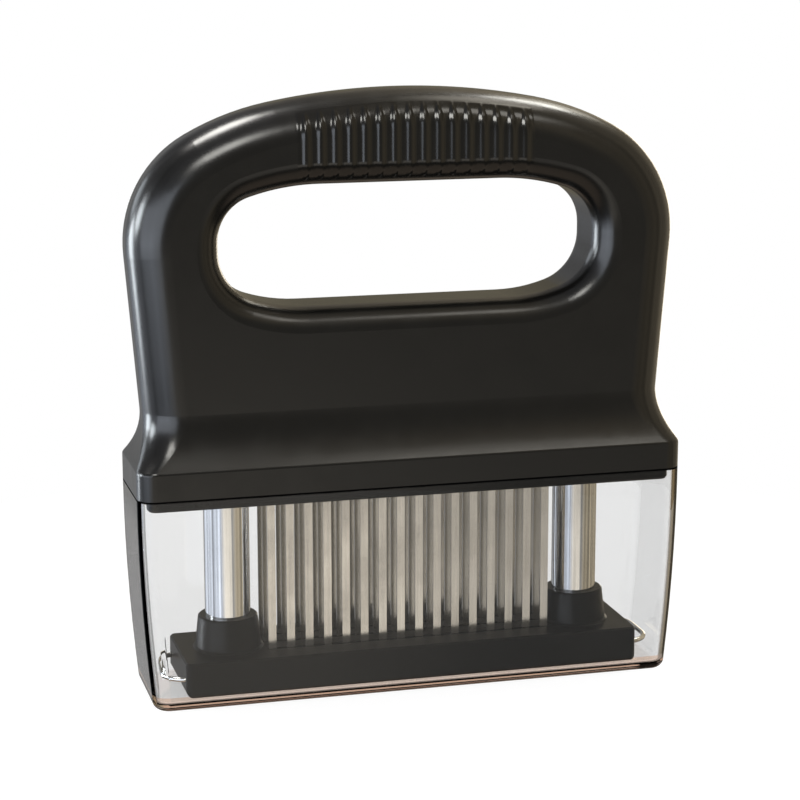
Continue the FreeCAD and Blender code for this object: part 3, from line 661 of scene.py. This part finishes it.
def light_studio():
    """Cool light from the left, warm from the right, nearly white from the front and above."""
    softbox("soft_back_left", -130, 71, 10, 9, 26.0, (1.0, 0.98, 0.93))
    softbox("soft_left_high", -100, 12, 9, 10, 18.0, (0.88, 0.95, 1.0))
    softbox("soft_left_low", -120, -3, 10, 12, 14.0, (0.88, 0.95, 1.0))
    softbox("soft_left_rear", -138, 14, 14, 9, 2.4, (0.85, 0.93, 1.0))
    softbox("soft_left_band", -52, 5, 31, 17, 3.0, (0.82, 0.89, 1.0), "RECTANGLE")
    softbox("soft_front_left", -13, 40, 9, 8, 13.5, (1.0, 0.99, 0.93))
    softbox("soft_front_right", 34, 49, 10, 6, 4.2, (1.0, 0.97, 0.90))
    softbox("soft_top_right", 101, 66, 9, 7, 4.2, (1.0, 0.94, 0.82))
    softbox("soft_back_high", 126, 52.5, 6.5, 6, 19.0, (1.0, 0.98, 0.91))
    softbox("soft_back_right", 136, 41, 8, 8, 3.6, (1.0, 0.94, 0.79))
    softbox("soft_right_rear", 147, -1, 9, 11, 3.5, (1.0, 0.89, 0.71))


ROOM_LEFT = rgb(0.30, 0.30, 0.31)
ROOM_RIGHT = rgb(0.52, 0.44, 0.31)
ROOM_LOW_LEFT = rgb(0.86, 0.93, 1.06)
FRONT_HIGH = rgb(0.24, 0.225, 0.195)
FRONT_LOW_LEFT = rgb(1.34, 1.24, 1.08)
FRONT_LOW_RIGHT = rgb(0.44, 0.435, 0.42)
GROUND_FAR = rgb(0.07, 0.065, 0.055)
GROUND_NEAR = rgb(0.50, 0.40, 0.31)
WALL_LEFT = grey(0.36)
WALL_RIGHT = rgb(0.27, 0.24, 0.17)
WALL_THROUGH_COVER = rgb(0.66, 0.47, 0.37)
SCATTERED = grey(0.75)      # what matt surfaces get from all round
WIDE_STRIPES = 3.2          # waves a radian
NARROW_STRIPES = 17.0
STRIPE_LEVELS = (0.40, 1.70)
COVER_LEVEL = 0.45          # how bright the room is in and through the smooth cover


def sees_backdrop(tree, rays):
    """1 for rays from the camera, also through clear walls, 0 once they have been mirrored."""
    unmirrored = tree.math("LESS_THAN", rays["Glossy Depth"], 0.5)
    through = tree.times(rays["Is Transmission Ray"], unmirrored)
    return tree.math("MAXIMUM", rays["Is Camera Ray"], through)


def stripes(tree, x, y):
    """Upright light and dark things in the room, which bright metal shows as streaks."""
    line = tree.add("ShaderNodeCombineXYZ")
    tree.link(tree.math("ARCTAN2", x, y), line.inputs[0])
    coarse = tree.noise(line.outputs[0], WIDE_STRIPES, 2.0)
    fine = tree.noise(line.outputs[0], NARROW_STRIPES, 2.0)
    both = tree.math("MULTIPLY_ADD", fine, 0.50, tree.times(coarse, 0.50))
    return tree.ramp(both, 0.40, 0.60, *STRIPE_LEVELS)


def mirrored_room(tree, rays):
    """What shiny things see. The ramps run over x, y and z of the direction they look in."""
    x, y, z = tree.xyz(tree.add("ShaderNodeTexCoord").outputs["Generated"])
    room = tree.mix(tree.ramp(x, -0.15, 0.45), ROOM_LEFT, ROOM_RIGHT)
    low_left = tree.times(tree.ramp(x, -0.15, -0.45),
                          tree.ramp(z, 0.08, -0.10), tree.ramp(z, -0.38, -0.28))
    room = tree.mix(low_left, room, ROOM_LOW_LEFT)
    room = tree.dimmed(room, stripes(tree, x, y))
    low_front = tree.mix(tree.ramp(x, 0.19, 0.31), FRONT_LOW_LEFT, FRONT_LOW_RIGHT)
    front = tree.mix(tree.ramp(z, -0.18, -0.27), FRONT_HIGH, low_front)
    room = tree.mix(tree.ramp(tree.times(y, -1.0), 0.72, 0.95), room, front)
    room = tree.mix(tree.ramp(z, -0.34, -0.46), room, GROUND_FAR)
    room = tree.mix(tree.ramp(z, -0.55, -0.75), room, GROUND_NEAR)
    in_cover = tree.ramp(rays["Is Singular Ray"], 0.0, 1.0, 1.0, COVER_LEVEL, smooth=False)
    room = tree.dimmed(room, in_cover)
    behind = tree.times(tree.ramp(y, 0.85, 0.93), tree.ramp(z, 0.45, 0.30))
    far_wall = tree.mix(tree.ramp(x, -0.05, 0.20), WALL_LEFT, WALL_RIGHT)
    far_wall = tree.mix(rays["Is Transmission Ray"], far_wall, WALL_THROUGH_COVER)
    return tree.mix(behind, room, far_wall)


def light_world():
    """White backdrop for the camera, and a dim room with a warm far wall for shiny things."""
    world = bpy.data.worlds.new("studio")
    scene.world = world
    world.use_nodes = True
    tree = Tree(world.node_tree)
    rays = tree.add("ShaderNodeLightPath").outputs
    unseen = tree.mix(rays["Is Glossy Ray"], SCATTERED, mirrored_room(tree, rays))
    shade = tree.add("ShaderNodeBackground")
    tree.link(tree.mix(sees_backdrop(tree, rays), unseen, grey(1.0)), shade.inputs["Color"])
    tree.show(shade, "ShaderNodeOutputWorld")


# ---------------------------------------------------------------- floor
FLOOR_Z = -0.0002           # just under the cover
FLOOR_RINGS = 5
RING_WIDTH = 0.05
FLOOR_SIDES = 96
PAPER_GRAIN = 300.0         # waves a metre
PAPER_LEVELS = (0.29, 0.31)
GLOW_SEEN = 0.86
GLOW_MIRRORED = 0.20


def white_floor(name):
    """Pale matt paper that glows where the camera sees it, so that it fades into the backdrop."""
    material, tree, place = new_material(name)
    matt = tree.add("ShaderNodeBsdfDiffuse")
    grain = tree.noise(place, PAPER_GRAIN, 3.0)
    paper = tree.ramp(grain, 0.0, 1.0, *PAPER_LEVELS, smooth=False)
    tree.link(tree.grey(paper), matt.inputs["Color"])
    glow = tree.add("ShaderNodeEmission")
    rays = tree.add("ShaderNodeLightPath").outputs
    seen = tree.times(sees_backdrop(tree, rays), GLOW_SEEN)
    mirrored = tree.times(rays["Is Glossy Ray"], GLOW_MIRRORED)
    tree.link(tree.math("MAXIMUM", seen, mirrored), glow.inputs["Strength"])
    glow.inputs["Color"].default_value = grey(1.0)
    both = tree.add("ShaderNodeAddShader")
    tree.link(matt.outputs[0], both.inputs[0])
    tree.link(glow.outputs[0], both.inputs[1])
    tree.show(both)
    return material


def lay_floor():
    """Round floor that keeps the object's shadow."""
    spots = [(0.0, 0.0, FLOOR_Z)]
    for ring in range(1, FLOOR_RINGS + 1):
        for index in range(FLOOR_SIDES):
            turn = 2 * math.pi * index / FLOOR_SIDES
            away = ring * RING_WIDTH
            spots.append((away * math.cos(turn), away * math.sin(turn), FLOOR_Z))
    faces = [(0, 1 + index, 1 + (index + 1) % FLOOR_SIDES) for index in range(FLOOR_SIDES)]
    for ring in range(FLOOR_RINGS - 1):
        inner = 1 + ring * FLOOR_SIDES
        outer = inner + FLOOR_SIDES
        for index in range(FLOOR_SIDES):
            following = (index + 1) % FLOOR_SIDES
            faces.append((inner + index, outer + index, outer + following, inner + following))
    floor = add_mesh("floor", spots, faces, white_floor("floor_white"), [False] * len(faces))
    floor.visible_glossy = False
    floor.visible_shadow = False


# ---------------------------------------------------------------- build
scene.view_settings.view_transform = "Standard"
place_camera()
rib_plastic, spring_steel = dress_all()
rib_patch("grip_ribs_front", False, rib_plastic)
rib_patch("grip_ribs_back", True, rib_plastic)
spring_coil("left", spring_steel)
spring_coil("right", spring_steel)
light_studio()
light_world()
lay_floor()
